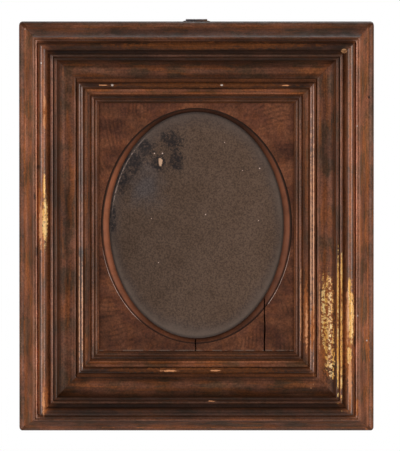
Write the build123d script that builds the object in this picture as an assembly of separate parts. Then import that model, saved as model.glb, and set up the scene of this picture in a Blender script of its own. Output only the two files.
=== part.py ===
from build123d import *
import os
from math import atan2, degrees, hypot, radians, sqrt, tan

# All lengths are millimetres. The frame hangs upright: +X right, +Z up, its front faces -Y.
# The origin is on the axis of the hanger's knuckle, in the middle of the top edge.

# Panel stack that the rabbet holds, an eight by ten inch size
PANEL_WIDTH = 203.0
PANEL_HEIGHT = 254.0
PANEL_CLEARANCE = 0.5
SIDE_LAP = 9.2
END_LAP = 6.6
PANEL_THICKNESS = 7.0
PLATE_THICKNESS = 3.0
BOARD_THICKNESS = 6.0

# Oval opening in the spandrel panel
OVAL_SIDE_MARGIN = 1.7
OVAL_END_MARGIN = 8.1
OVAL_RISE = 1.2
RIM_SIDE_WIDTH = 7.8
RIM_END_WIDTH = 4.6
RIM_STEP = 1.3
RIM_LIP = 0.8
RIM_SWELL_SHARES = (0.62, 0.34)

# Base frame
STRIP_RADIUS = 5.0
CORNER_RADIUS = 3.5
LAP_SHARE = 0.5
STILE_SETBACK = 5.4
RAIL_SETBACK = 3.6

# Main moulding, members in order from the outer edge inwards
FOOT_RISE = 1.0
BAND_WIDTH = 8.4
BAND_RISE = 18.8
BAND_TURN = 24.0
ARRIS_WIDTH = 0.9
NOTCH_WIDTH = 1.4
NOTCH_DEPTH = 0.8
ARRIS_STEP = 0.5
GROOVE_SLOPE = 0.8
GROOVE_DEPTH = 1.6
GROOVE_WIDTH = 1.2
TORUS_SIDE = 2.5
TORUS_RADIUS = 3.6
TORUS_DROP = 3.3
TORUS_QUIRK = 3.7
FILLET_WIDTH = 2.3
FILLET_RISE = 1.8
FILLET_QUIRK = 1.2
LOW_FILLET_RISE = 0.7
COVE_BREAK = 1.6
COVE_RADIUS = 10.8
COVE_RUN = 6.8
COVE_LIFT = 2.3
COVE_LIP = 0.4

# Liner moulding, members in order from its joint with the main moulding inwards
JOINT_GAP = 0.2
LINER_WALL = 7.4
LINER_EDGE = 2.2
BEAD_RADIUS = 2.4
BEAD_SIDE = 1.8
BEAD_DROP = 1.2
LINER_QUIRK = 0.9
OGEE_RISE = 1.0
OGEE_SWELL_WIDTH = 2.4
OGEE_SWELL_FALL = 0.9
OGEE_HOLLOW_WIDTH = 2.7
OGEE_HOLLOW_FALL = 2.5
OGEE_TURN = 42.0
OGEE_DROP = 1.9
SIGHT_QUIRK = 1.8
SIGHT_FILLET_WIDTH = 2.0
SIGHT_FILLET_RISE = 1.2
SIGHT_FILLET_DROP = 1.6
LOW_SIGHT_QUIRK = 1.5
LOW_SIGHT_RISE = 0.6
LOW_SIGHT_WIDTH = 1.4
LOW_SIGHT_DROP = 1.3
SIGHT_BEVEL = 2.1
SIGHT_FALL = 0.6

# Pegs and nails
FASTENER_CLEARANCE = 0.05
PEG_RADIUS = 3.0
PEG_INSET_SHARE = 0.5
NAIL_SPREAD_SHARE = 0.24
NAIL_HEAD_RADIUS = 2.2
NAIL_HEAD_HEIGHT = 0.9
NAIL_SINK = 0.2
NAIL_RADIUS = 1.0
NAIL_INSET_SHARE = 0.38
NAIL_BITE = 9.0
BRAD_HEAD_RADIUS = 1.3
BRAD_HEAD_HEIGHT = 0.6
BRAD_RADIUS = 0.6
BRAD_INSET_SHARE = 0.27
BRAD_BITE = 4.0

# Turn buttons
BUTTON_SPREAD_SHARE = 0.21
BUTTON_INSET = 13.0
BUTTON_REACH = 21.0
BUTTON_EYE_RADIUS = 6.5
BUTTON_TIP_RADIUS = 5.0
BUTTON_THICKNESS = 2.0
BUTTON_CHAMFER = 0.4
BUTTON_STANDOFF = 0.2
PIVOT_CLEARANCE = 0.05
SCREW_HEAD_RADIUS = 4.2
SCREW_HEAD_HEIGHT = 2.2
SCREW_HEAD_ROUND = 1.4
SCREW_SHANK_RADIUS = 2.0
SCREW_BITE = 10.0
SLOT_WIDTH = 0.9
SLOT_DEPTH = 0.9

# Hanger
TAB_SHOW = 2.0
STRAP_WIDTH = 20.3
STRAP_LENGTH = 46.0
STRAP_THICKNESS = 1.2
STRAP_END_ROUND = 6.0
RING_WIRE_RADIUS = 1.2
RING_CLEARANCE = 0.3
RING_SIDE_GAP = 0.6
RING_CORNER_RADIUS = 2.6
RING_STRAIGHT = 5.5
HANGER_SCREW_END_INSET = 7.0
HANGER_SCREW_PITCH = 10.0
HANGER_HEAD_GAP = 2.15

# One overrun serves every cut
OVERRUN = 1.0

# Outlines run as strokes: across, up, and the degrees that the stroke turns, plus for a swell
COVE_RUN_TURN = 2 * degrees(atan2(COVE_LIFT, COVE_RUN))
MOULDING_STROKES = [
    (0, FOOT_RISE, 0),
    (BAND_WIDTH, BAND_RISE, -BAND_TURN),
    (ARRIS_WIDTH, 0, 0),
    (NOTCH_WIDTH / 2, -NOTCH_DEPTH, 0),
    (NOTCH_WIDTH / 2, NOTCH_DEPTH + ARRIS_STEP, 0),
    (ARRIS_WIDTH, 0, 0),
    (GROOVE_SLOPE, -GROOVE_DEPTH, 0),
    (GROOVE_WIDTH, 0, 0),
    (0, TORUS_SIDE, 0),
    (2 * TORUS_RADIUS, 0, 180),
    (0, -TORUS_DROP, 0),
    (TORUS_QUIRK, 0, 0),
    (0, FILLET_RISE, 0),
    (FILLET_WIDTH, 0, 0),
    (0, -FILLET_RISE, 0),
    (FILLET_QUIRK, 0, 0),
    (0, LOW_FILLET_RISE, 0),
    (FILLET_WIDTH, 0, 0),
    (0, -COVE_BREAK, 0),
    (COVE_RADIUS, -COVE_RADIUS, -90),
    (COVE_RUN, COVE_LIFT, -COVE_RUN_TURN),
    (COVE_LIP, 0, 0),
]
LINER_STROKES = [
    (0, LINER_WALL, 0),
    (LINER_EDGE, 0, 0),
    (0, BEAD_SIDE, 0),
    (2 * BEAD_RADIUS, 0, 180),
    (0, -BEAD_DROP, 0),
    (LINER_QUIRK, 0, 0),
    (0, OGEE_RISE, 0),
    (OGEE_SWELL_WIDTH, -OGEE_SWELL_FALL, OGEE_TURN),
    (OGEE_HOLLOW_WIDTH, -OGEE_HOLLOW_FALL, -OGEE_TURN),
    (0, -OGEE_DROP, 0),
    (SIGHT_QUIRK, 0, 0),
    (0, SIGHT_FILLET_RISE, 0),
    (SIGHT_FILLET_WIDTH, 0, 0),
    (0, -SIGHT_FILLET_DROP, 0),
    (LOW_SIGHT_QUIRK, 0, 0),
    (0, LOW_SIGHT_RISE, 0),
    (LOW_SIGHT_WIDTH, 0, 0),
    (0, -LOW_SIGHT_DROP, 0),
    (SIGHT_BEVEL, -SIGHT_FALL, 0),
]

# Sizes that follow from the driving dimensions
moulding_width = sum(across for across, up, turn in MOULDING_STROKES)
liner_width = sum(across for across, up, turn in LINER_STROKES)
liner_start = moulding_width + JOINT_GAP
section_width = liner_start + liner_width
stile_inset = STILE_SETBACK + section_width - SIDE_LAP
rail_inset = RAIL_SETBACK + section_width - END_LAP
stile_width = stile_inset - PANEL_CLEARANCE
rail_width = rail_inset - PANEL_CLEARANCE
base_depth = PANEL_THICKNESS + PLATE_THICKNESS + BOARD_THICKNESS
lap_depth = base_depth * LAP_SHARE
frame_width = PANEL_WIDTH + 2 * stile_inset
frame_height = PANEL_HEIGHT + 2 * rail_inset
knuckle_bore = RING_WIRE_RADIUS + RING_CLEARANCE
knuckle_radius = knuckle_bore + STRAP_THICKNESS
back_y = -knuckle_radius
top_z = knuckle_radius - TAB_SHOW
middle_z = top_z - frame_height / 2
plate_front = BOARD_THICKNESS + PLATE_THICKNESS

# Each side of the frame: its inward direction, its half distance from the middle, its length
SIDES = {
    "top": (Vector(0, 0, -1), frame_height / 2, frame_width),
    "bottom": (Vector(0, 0, 1), frame_height / 2, frame_width),
    "left": (Vector(1, 0, 0), frame_width / 2, frame_height),
    "right": (Vector(-1, 0, 0), frame_width / 2, frame_height),
}
RAILS = ("top", "bottom")
FRONT = Vector(0, -1, 0)
MIDDLE = Vector(0, back_y, middle_z)
OVAL_MIDDLE = MIDDLE + Vector(0, 0, OVAL_RISE)


def setbacks(side):
    """How far the moulding of a side lies in from its outer edge, and those of the sides it meets."""
    return (RAIL_SETBACK, STILE_SETBACK) if side in RAILS else (STILE_SETBACK, RAIL_SETBACK)


def section_plane(side):
    """Plane across a side at mid-length: X runs inwards from the outer edge, Y towards the front."""
    inward, reach, length = SIDES[side]
    return Plane(MIDDLE - inward * reach, x_dir=inward, z_dir=inward.cross(FRONT))


def face_plane(side, depth):
    """Plane parallel to the wall at a depth from the back: X runs inwards, Y along the side."""
    inward, reach, length = SIDES[side]
    return Plane(MIDDLE - inward * reach + FRONT * depth, x_dir=inward, z_dir=FRONT)


def slab(depth, height, width, tall):
    """Block centred on the frame, from one depth in front of the back plane, of a given height."""
    plane = Plane(MIDDLE + FRONT * depth, x_dir=(1, 0, 0), z_dir=FRONT)
    return extrude(plane * Rectangle(width, tall), height)


def stroke_face(strokes):
    """Face under a run of strokes, closed down to the line that the run starts on."""
    pen = Vector(0, 0)
    with BuildSketch() as sketch:
        with BuildLine():
            for across, up, turn in strokes:
                tip = pen + Vector(across, up)
                if turn:
                    SagittaArc(pen, tip, hypot(across, up) / 2 * tan(radians(turn) / 4))
                else:
                    Line(pen, tip)
                pen = tip
            Line(pen, (pen.X, 0))
            Line((pen.X, 0), (0, 0))
        make_face()
    return sketch.sketch


def along_side(side, face, inset, depth):
    """A section set at its inset and depth and run along the whole length of a side."""
    inward, reach, length = SIDES[side]
    return extrude(section_plane(side) * Pos(inset, depth) * face, length / 2, both=True)


def mitre_block(side, outer, depth, height):
    """Trapezoid block of a side between its mitre lines, outer being its half length on the outer edge."""
    own, other = setbacks(side)
    inset = own + section_width
    inner = SIDES[side][2] / 2 - other - section_width
    corners = [(0, -outer), (inset, -inner), (inset, inner), (0, outer)]
    return extrude(face_plane(side, depth) * make_face(Polyline(*corners, close=True)), height)


def mitred(side, face, start):
    """A moulding on the front of one side, cut at 45 degrees at both ends."""
    own, other = setbacks(side)
    outer = SIDES[side][2] / 2 - other + own
    tall = face.bounding_box().size.Y
    block = mitre_block(side, outer, base_depth - OVERRUN, tall + 2 * OVERRUN)
    return along_side(side, face, own + start, base_depth) & block


def back_point(side, inset, along):
    """Place on the back plane of a side, with Z pointing into the wood."""
    return face_plane(side, 0) * Pos(inset, along)


def post(radius, height):
    """Cylinder that stands on the local plane."""
    return Cylinder(radius, height, align=(Align.CENTER, Align.CENTER, Align.MIN))


def headed_nail(head_radius, head_height, radius, bite, grow):
    """Nail driven from the back, its head sunk flush; grow makes the hole for it."""
    head = Pos(0, 0, NAIL_SINK) * post(head_radius + grow, head_height)
    return head + Pos(0, 0, NAIL_SINK) * post(radius + grow, base_depth + bite - NAIL_SINK)


def nail_hole(head_radius, head_height, radius, bite):
    """Hole for a nail, open to the back."""
    hole = headed_nail(head_radius, head_height, radius, bite, FASTENER_CLEARANCE)
    return hole + post(head_radius + FASTENER_CLEARANCE, NAIL_SINK)


MAIN_NAIL = (NAIL_HEAD_RADIUS, NAIL_HEAD_HEIGHT, NAIL_RADIUS, NAIL_BITE)
LINER_BRAD = (BRAD_HEAD_RADIUS, BRAD_HEAD_HEIGHT, BRAD_RADIUS, BRAD_BITE)


def nail_places(side):
    """Where a side's main nails go in."""
    inset = setbacks(side)[0] + moulding_width * NAIL_INSET_SHARE
    spread = SIDES[side][2] * NAIL_SPREAD_SHARE
    return [back_point(side, inset, along) for along in (-spread, spread)]


def brad_places(side):
    """Where a side's liner brads go in."""
    inset = setbacks(side)[0] + liner_start + liner_width * BRAD_INSET_SHARE
    spread = SIDES[side][2] * NAIL_SPREAD_SHARE
    return [back_point(side, inset, along) for along in (-spread, spread)]


def peg_places():
    """Middles of the four lapped corners on the back plane."""
    inset = rail_width * PEG_INSET_SHARE
    reach = frame_width / 2 - stile_width * PEG_INSET_SHARE
    return [back_point(side, inset, along) for side in RAILS for along in (-reach, reach)]


def button_places():
    """Pivot of each turn button on the back of the stiles, with X pointing at the board."""
    inset = stile_width - BUTTON_INSET
    spread = frame_height * BUTTON_SPREAD_SHARE
    places = {}
    for side in ("left", "right"):
        for along in (-spread, spread):
            place = back_point(side, inset, along)
            level = "upper" if place.position.Z > middle_z else "lower"
            places[f"turn_button_{level}_{side}"] = place
    return places


def hanger_screw_places():
    """Screws of the strap, below the loop of the ring."""
    low = top_z + STRAP_LENGTH - HANGER_SCREW_END_INSET
    return [back_point("top", inset, 0) for inset in (low, low - HANGER_SCREW_PITCH)]


def slotted_screw(standoff):
    """Round-headed screw whose head bears at a distance behind the back plane."""
    head = post(SCREW_HEAD_RADIUS, SCREW_HEAD_HEIGHT)
    head = fillet(head.edges().group_by(Axis.Z)[-1], SCREW_HEAD_ROUND)
    slot = Pos(0, 0, SCREW_HEAD_HEIGHT - SLOT_DEPTH) * Box(
        2 * SCREW_HEAD_RADIUS + OVERRUN, SLOT_WIDTH, SLOT_DEPTH + OVERRUN,
        align=(Align.CENTER, Align.CENTER, Align.MIN))
    shank = Pos(0, 0, -standoff) * Rot(180, 0, 0) * post(SCREW_SHANK_RADIUS, SCREW_BITE)
    neck = Rot(180, 0, 0) * post(SCREW_SHANK_RADIUS, standoff)
    return Rot(180, 0, 0) * Pos(0, 0, standoff) * (head - slot + neck + shank)


def screw_hole():
    """Blind hole for a screw in the wood behind the back plane."""
    return post(SCREW_SHANK_RADIUS + FASTENER_CLEARANCE, SCREW_BITE + FASTENER_CLEARANCE)


def base_face(width):
    """Section of the base frame: a flat bar with a quarter-round outer front edge."""
    return stroke_face([
        (0, base_depth - STRIP_RADIUS, 0),
        (STRIP_RADIUS, STRIP_RADIUS, 90),
        (width - STRIP_RADIUS, 0, 0),
    ])


def corner_waste(side, end):
    """What is rounded off the outer corner at one end of a side."""
    corner = end * SIDES[side][2] / 2
    heart = Pos(CORNER_RADIUS, corner - end * CORNER_RADIUS)
    far = Pos(-OVERRUN, corner + end * OVERRUN)
    waste = make_face(Polyline(
        heart.position, (heart.position.X, far.position.Y), far.position,
        (far.position.X, heart.position.Y), close=True)) - heart * Circle(CORNER_RADIUS)
    return extrude(face_plane(side, 0) * waste, base_depth + OVERRUN, both=True)


def base_member(side):
    """One member of the base frame, mitred in front and lapped behind."""
    width = rail_width if side in RAILS else stile_width
    reach = frame_width - 2 * stile_width if side in RAILS else frame_width
    bar = along_side(side, base_face(width), 0, 0)
    front = bar & mitre_block(side, SIDES[side][2] / 2, lap_depth, base_depth)
    member = front + (bar & slab(-OVERRUN, lap_depth + OVERRUN, reach, frame_height))
    for end in (-1, 1):
        member -= corner_waste(side, end)
    for place in peg_places():
        member -= place * post(PEG_RADIUS + FASTENER_CLEARANCE, base_depth)
    for place in nail_places(side):
        member -= place * nail_hole(*MAIN_NAIL)
    for place in brad_places(side):
        member -= place * nail_hole(*LINER_BRAD)
    if side == "top":
        for place in hanger_screw_places():
            member -= place * screw_hole()
    if side not in RAILS:
        for place in button_places().values():
            member -= place * screw_hole()
    return member


def main_moulding(side):
    """One main moulding, bored for the nails that hold it from behind."""
    moulding = mitred(side, stroke_face(MOULDING_STROKES), 0)
    for place in nail_places(side):
        moulding -= place * nail_hole(*MAIN_NAIL)
    return moulding


def liner_moulding(side):
    """One liner moulding, which laps over the edge of the panel."""
    moulding = mitred(side, stroke_face(LINER_STROKES), liner_start)
    for place in brad_places(side):
        moulding -= place * nail_hole(*LINER_BRAD)
    return moulding


def ellipse_at(depth, half_width, half_height):
    """Elliptical face on the oval's middle at a depth from the back plane."""
    plane = Plane(OVAL_MIDDLE + FRONT * depth, x_dir=(1, 0, 0), z_dir=FRONT)
    return plane * Ellipse(half_width, half_height)


def spandrel_panel():
    """Flat board with an oval opening: a small step, a swelling rim and a lip round the plate."""
    outer_x = PANEL_WIDTH / 2 - SIDE_LAP - OVAL_SIDE_MARGIN
    outer_z = PANEL_HEIGHT / 2 - END_LAP - OVAL_END_MARGIN
    rim_top = base_depth - RIM_STEP
    rim_bottom = plate_front + RIM_LIP
    swell_across, swell_down = RIM_SWELL_SHARES
    rings = []
    for across, down in ((0, 0), (swell_across, swell_down), (1, 1)):
        depth = rim_top - (rim_top - rim_bottom) * down
        half_width = outer_x - RIM_SIDE_WIDTH * across
        half_height = outer_z - RIM_END_WIDTH * across
        rings.append(ellipse_at(depth, half_width, half_height))
    panel = slab(plate_front, PANEL_THICKNESS, PANEL_WIDTH, PANEL_HEIGHT)
    sight = ellipse_at(plate_front - OVERRUN, outer_x - RIM_SIDE_WIDTH, outer_z - RIM_END_WIDTH)
    panel -= extrude(sight, RIM_LIP + 2 * OVERRUN)
    panel -= loft([ring.face() for ring in rings])
    return panel - extrude(ellipse_at(rim_top, outer_x, outer_z), RIM_STEP + OVERRUN)


def turn_button():
    """Flat tongue that turns on its screw, lying just behind the back plane."""
    eye = Circle(BUTTON_EYE_RADIUS)
    tip = Pos(BUTTON_REACH, 0) * Circle(BUTTON_TIP_RADIUS)
    tongue = extrude(make_hull(eye.edges() + tip.edges()), BUTTON_THICKNESS)
    tongue = chamfer(tongue.edges().group_by(Axis.Z)[-1], BUTTON_CHAMFER)
    tongue -= Pos(0, 0, -OVERRUN) * post(
        SCREW_SHANK_RADIUS + PIVOT_CLEARANCE, BUTTON_THICKNESS + 2 * OVERRUN)
    return Rot(180, 0, 0) * Pos(0, 0, BUTTON_STANDOFF) * tongue


def hanger_strap():
    """Iron strap on the back of the top rail, rolled at its top round the bar of the ring."""
    plate = extrude(
        Plane((0, back_y, -STRAP_LENGTH / 2), x_dir=(1, 0, 0), z_dir=(0, 1, 0))
        * Rectangle(STRAP_WIDTH, STRAP_LENGTH), STRAP_THICKNESS)
    plate = fillet(plate.edges().filter_by(Axis.Y).group_by(Axis.Z)[0], STRAP_END_ROUND)
    knuckle = extrude(Plane.YZ * (Circle(knuckle_radius) - Circle(knuckle_bore)), STRAP_WIDTH / 2, both=True)
    strap = plate + knuckle
    strap -= extrude(Plane.YZ * Circle(knuckle_bore), STRAP_WIDTH, both=True)
    for place in hanger_screw_places():
        strap -= place * Pos(0, 0, -STRAP_THICKNESS - OVERRUN) * post(
            SCREW_SHANK_RADIUS + FASTENER_CLEARANCE, STRAP_THICKNESS + 2 * OVERRUN)
    return strap


def hanger_ring():
    """D-shaped wire ring that hangs from its straight bar, its bow ending above the upper screw."""
    bar = STRAP_WIDTH / 2 + RING_SIDE_GAP
    half = bar + RING_CORNER_RADIUS
    turn = RING_CORNER_RADIUS
    low = -turn - RING_STRAIGHT
    upper_screw = STRAP_LENGTH - HANGER_SCREW_END_INSET - HANGER_SCREW_PITCH
    bow = upper_screw - SCREW_HEAD_RADIUS - HANGER_HEAD_GAP - RING_WIRE_RADIUS + low
    near = turn * (1 - 1 / sqrt(2))
    with BuildLine(Plane.XZ) as path:
        Line((-bar, 0), (bar, 0))
        ThreePointArc((bar, 0), (half - near, -near), (half, -turn))
        Line((half, -turn), (half, low))
        EllipticalCenterArc((0, low), half, bow, start_angle=180, arc_size=180)
        Line((-half, low), (-half, -turn))
        ThreePointArc((-half, -turn), (near - half, -near), (-bar, 0))
    wire = path.wire()
    section = Plane((0, 0, 0), z_dir=(1, 0, 0)) * Circle(RING_WIRE_RADIUS)
    return sweep(section, path=wire)


parts = {}
for side in SIDES:
    member = "rail" if side in RAILS else "stile"
    parts[f"base_{side}_{member}"] = base_member(side)
    parts[f"{side}_moulding"] = main_moulding(side)
    parts[f"{side}_liner"] = liner_moulding(side)
parts["corner_pegs"] = [place * post(PEG_RADIUS, base_depth) for place in peg_places()]
parts["moulding_nails"] = [
    place * headed_nail(*MAIN_NAIL, 0) for side in SIDES for place in nail_places(side)]
parts["liner_brads"] = [
    place * headed_nail(*LINER_BRAD, 0) for side in SIDES for place in brad_places(side)]
parts["spandrel_panel"] = spandrel_panel()
parts["mirror_plate"] = slab(BOARD_THICKNESS, PLATE_THICKNESS, PANEL_WIDTH, PANEL_HEIGHT)
parts["backing_board"] = slab(0, BOARD_THICKNESS, PANEL_WIDTH, PANEL_HEIGHT)
for name, place in button_places().items():
    parts[name] = place * turn_button()
button_head = BUTTON_STANDOFF + BUTTON_THICKNESS + PIVOT_CLEARANCE
parts["turn_button_screws"] = [place * slotted_screw(button_head) for place in button_places().values()]
parts["hanger_strap"] = hanger_strap()
parts["hanger_ring"] = hanger_ring()
parts["hanger_screws"] = [place * slotted_screw(STRAP_THICKNESS) for place in hanger_screw_places()]

os.makedirs("parts", exist_ok=True)
for name, shape in parts.items():
    solids = shape if isinstance(shape, list) else [shape]
    export_step(Compound([solid for item in solids for solid in item.solids()]), f"parts/{name}.step")
print(f"frame {frame_width:.1f} x {frame_height:.1f}, rails {rail_width:.1f}, stiles {stile_width:.1f} wide")
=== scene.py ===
import math

import bpy
from bpy.props import FloatProperty, FloatVectorProperty, IntProperty, PointerProperty
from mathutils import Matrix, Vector


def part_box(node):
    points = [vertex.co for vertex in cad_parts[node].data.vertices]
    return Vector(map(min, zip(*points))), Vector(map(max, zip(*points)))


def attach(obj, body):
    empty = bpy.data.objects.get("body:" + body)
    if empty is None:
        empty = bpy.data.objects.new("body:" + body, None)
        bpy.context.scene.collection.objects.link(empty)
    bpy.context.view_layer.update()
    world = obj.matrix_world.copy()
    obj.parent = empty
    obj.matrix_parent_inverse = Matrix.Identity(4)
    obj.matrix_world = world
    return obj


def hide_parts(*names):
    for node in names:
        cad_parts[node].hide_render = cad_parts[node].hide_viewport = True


bl_info = {
    "name": "Oval sight picture frame",
    "version": (1, 0, 0),
    "blender": (4, 5, 0),
    "location": "View3D > Sidebar > Oval frame",
    "description": "Dresses the parts of an old moulded picture frame with an oval sight",
    "category": "Object",
}

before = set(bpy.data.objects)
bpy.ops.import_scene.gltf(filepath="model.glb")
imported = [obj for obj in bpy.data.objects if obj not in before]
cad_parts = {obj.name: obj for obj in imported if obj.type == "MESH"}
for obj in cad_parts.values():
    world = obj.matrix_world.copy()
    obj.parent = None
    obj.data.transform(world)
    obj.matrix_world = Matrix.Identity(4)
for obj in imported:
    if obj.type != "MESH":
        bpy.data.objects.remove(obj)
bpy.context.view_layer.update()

MM = 0.001

# Places that follow from the parts
HALF_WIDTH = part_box("base_right_stile")[1][0]
TOP_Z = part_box("base_top_rail")[1][2]
BOTTOM_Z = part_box("base_bottom_rail")[0][2]
MIDDLE_Z = (TOP_Z + BOTTOM_Z) / 2
HALF_HEIGHT = (TOP_Z - BOTTOM_Z) / 2
BACK_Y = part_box("base_left_stile")[1][1]
STILE_SETBACK = HALF_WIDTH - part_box("right_moulding")[1][0]
RAIL_SETBACK = TOP_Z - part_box("top_moulding")[1][2]
SIGHT_HALF_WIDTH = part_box("right_liner")[0][0]
SIGHT_HALF_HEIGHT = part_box("top_liner")[0][2] - MIDDLE_Z
PANEL_LOW, PANEL_HIGH = (Vector(corner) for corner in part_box("spandrel_panel"))
PANEL_FRONT_Y = PANEL_LOW.y
PLATE_FRONT_Y = PANEL_HIGH.y

# Oval rim of the spandrel panel
OVAL_RAISE = 1.2 * MM
OVAL_SIDE_MARGIN = 1.7 * MM
OVAL_END_MARGIN = 8.1 * MM
OVAL_Z = MIDDLE_Z + OVAL_RAISE
OVAL_HALF_WIDTH = SIGHT_HALF_WIDTH - OVAL_SIDE_MARGIN
OVAL_HALF_HEIGHT = SIGHT_HALF_HEIGHT - OVAL_END_MARGIN
RIM_SIDE_WIDTH = 7.8 * MM
RIM_END_WIDTH = 4.6 * MM
RIM_STEP = 1.3 * MM
RIM_LIP = 0.8 * MM
RIM_SWELL_POWER = 2.26
RIM_RINGS = 10
RIM_SIDES = 224
PLATE_HALF_WIDTH = OVAL_HALF_WIDTH - RIM_SIDE_WIDTH
PLATE_HALF_HEIGHT = OVAL_HALF_HEIGHT - RIM_END_WIDTH
OVERRUN = 1 * MM

# Limits for clean meshes and worn arrises
MERGE_GAP = 0.001 * MM
MERGE_ANGLE = math.radians(1)
SMOOTH_ANGLE = math.radians(32)
ARRIS_ANGLE = math.radians(35)
ARRIS_SHARE = 0.42
STRAIGHT_SHARE = 0.99
LONG_SHARE = 1 / 3

# The photograph and the frame in it, in its pixels, and the camera that takes the same view
IMAGE_WIDTH = 400
IMAGE_HEIGHT = 451
PHOTO_LEFT = 19.4
PHOTO_RIGHT = 373.6
PHOTO_MIDDLE_X = (PHOTO_LEFT + PHOTO_RIGHT) / 2
PHOTO_MIDDLE_Y = 225.2
PIXEL = 2 * HALF_WIDTH / (PHOTO_RIGHT - PHOTO_LEFT)
VIEW_ELEVATION = math.radians(5.7)
VIEW_DISTANCE = 16
VIEW_END = 100
SENSOR = 36

# Members of the section, from the moulding's outer edge inwards: middle and half width in millimetres,
# then shares of wear, dirt with painted shade, and polish, and the painted light and shade on the stiles and
# rails
MEMBERS = {
    "strip edge": (-4.4, 1, 0, 0, 0, 1, 0.54),
    "strip": (-1.9, 1.5, 0.4, 0, 0, 1.19, 0.88),
    "strip quirk": (-0.1, 0.6, 0, 0.4, 0, 2.25, 1.5),
    "band": (4.2, 3.8, 0, 0, 0, 1.34, 0.86),
    "outer arris": (8.9, 0.7, 0.6, 0, 0.2, 1.7, 0.85),
    "notch": (10, 0.5, 0, 0.6, 0, 2, 1),
    "inner arris": (11.2, 0.8, 0.7, 0, 0.7, 2.8, 0.4),
    "groove": (12.8, 0.8, 0, 0.7, 0, 2.9, 0.62),
    "outer flank": (14.6, 0.7, 0, 0.3, 0.3, 0.78, 0.4),
    "torus": (17.2, 1.6, 0, 0.1, 1, 2.1, 0.27),
    "inner flank": (19.8, 0.7, 0, 0.4, 0.3, 1.26, 0.3),
    "torus quirk": (22.6, 1.6, 0, 1, 0, 2, 0.16),
    "upper fillet": (25.7, 1.2, 0.5, 0, 0.7, 1.3, 0.35),
    "fillet quirk": (27.4, 0.7, 0, 1, 0, 0.48, 0.35),
    "lower fillet": (29.1, 1.1, 0.2, 0, 0.5, 0.74, 0.2),
    "cove top": (32.2, 1.6, 0, 0.3, 0, 0.54, 0.42),
    "cove side": (36.4, 1.6, 0, 0, 0, 1.18, 0.45),
    "cove floor": (41.2, 2.6, 0, 0, 0, 1, 0.88),
    "cove end": (45.8, 1.2, 0, 0, 0, 1.28, 0.48),
    "cove lip": (47.8, 0.6, 0.4, 0, 0.3, 1.43, 0.34),
    "joint": (49.6, 0.9, 0, 1, 0, 1.35, 0.85),
    "bead outer side": (51.8, 0.6, 0.4, 0, 1, 1.15, 0.25),
    "bead crest": (53, 0.3, 0, 0.8, 0.1, 0.75, 0.26),
    "bead inner side": (54.2, 0.6, 0.4, 0, 1, 0.98, 0.25),
    "bead quirk": (56, 0.6, 0, 1, 0, 1.74, 0.48),
    "ogee": (58.3, 1.6, 0, 0.1, 0, 1.02, 0.98),
    "ogee foot": (60.8, 0.6, 0, 0.4, 0, 0.65, 1.5),
    "sight quirk": (62.4, 1.1, 0, 1, 0, 1.5, 0.62),
    "upper sight fillet": (64.3, 1, 0.5, 0, 0.5, 1.05, 0.22),
    "low sight quirk": (66.1, 0.8, 0, 0.9, 0, 0.85, 0.7),
    "lower sight fillet": (67.5, 0.7, 0.4, 0, 0.4, 0.92, 0.5),
    "sight bevel": (69.3, 0.9, 0, 0.8, 0, 1.12, 0.56),
}
WEAR, DIRT_AND_SHADE, POLISH, STILE_PAINTED_LIGHT, RAIL_PAINTED_LIGHT = range(2, 7)
MOST_PAINTED_LIGHT = 3
MEMBER_FLAT_SHARE = 0.6
# Reach about a mitre over which the stiles' painted light fades into the rails' painted shade
MITRE_FADE = 9 * MM

# On the rails the liner's inner members stand further in: from this far in, by this much
LINER_SHIFTS = ((49.6 * MM, 1.5 * MM), (55.9 * MM, 0.9 * MM))

# Patterns of the shading: cycles to the metre, detail and roughness
CLOUDS = (46, 5, 0.65)
SPECKS = (620, 2, 0.5)
DRYNESS = (120, 3, 0.6)
PATCHES = (95, 4, 0.65)
TORN_EDGE = (160, 4, 0.6)
STROKE_WANDER = (55, 3, 0.6)
LEAVES = (70, 2, 0.5)
STAINS = (24, 4, 0.6)
RUST_PATCHES = (160, 4, 0.65)
RUST_PITS = (900, 3, 0.6)
PLATE_SPECKLE = (620, 4, 0.7)
PLATE_DRIFT = (30, 5, 0.7)
PLATE_MOTTLE = (460, 5, 0.75)

# Patterns drawn out along a member: cycles to the metre along it and across it, detail and roughness
STREAKS = (10, 640, 3, 0.6)
SCUFFS = (55, 320, 4, 0.65)
DRIPS = (30, 210, 3, 0.6)
SLOW_SHADE = (16, 60, 2, 0.5)
RAIL_PATTERN_SHIFT = 2.3

# Leaf strokes: phase round the oval and out from it, how far they stray, how dark they are on which ground
STROKES_ROUND = 150
STROKES_OUT = 90
STROKE_SWAY = 6
STROKE_DARKNESS = 0.32
STROKE_GROUND = 1.06

# Wood: bands to the metre along each axis, then scale to the bands, detail, roughness and distortion
RAIL_GRAIN = (9, 260, 260)
STILE_GRAIN = (260, 260, 9)
BOARD_GRAIN = (170, 170, 6)
PEG_GRAIN = (90, 300, 90)
WOOD_RINGS = (1, 4, 0.6, 0.4)
WOOD_FIBRES = (5, 3, 0.6)
RINGS_IN_A_BAND = 7

# Depths of the bumps, and places where one coat gives way to another
VARNISH_BUMP = 0.25 * MM
PANEL_BUMP = 0.2 * MM
WOOD_BUMP = 0.3 * MM
IRON_BUMP = 0.15 * MM
MITRE_SEAM = (0.1 * MM, 0.6 * MM)
BASE_SEAM = (1.9 * MM, 2.4 * MM)
TORN_REACH = 3 * MM
TONED_RISE = (1.5 * MM, 3.2 * MM)
RIM_DEPTHS = (PANEL_FRONT_Y + 0.5 * MM, PANEL_FRONT_Y + 1.2 * MM)
FOOT_Z = MIDDLE_Z - SIGHT_HALF_HEIGHT + sum(shift for _, shift in LINER_SHIFTS)
PANEL_FOOT = (FOOT_Z + 0.5 * MM, FOOT_Z + 1.6 * MM)

# Coats of the old finish, by the names of their colours
COATS = ("toned", "umber", "glaze", "grime_and_shade", "worn", "bole", "gold", "pale_gold")

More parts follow.
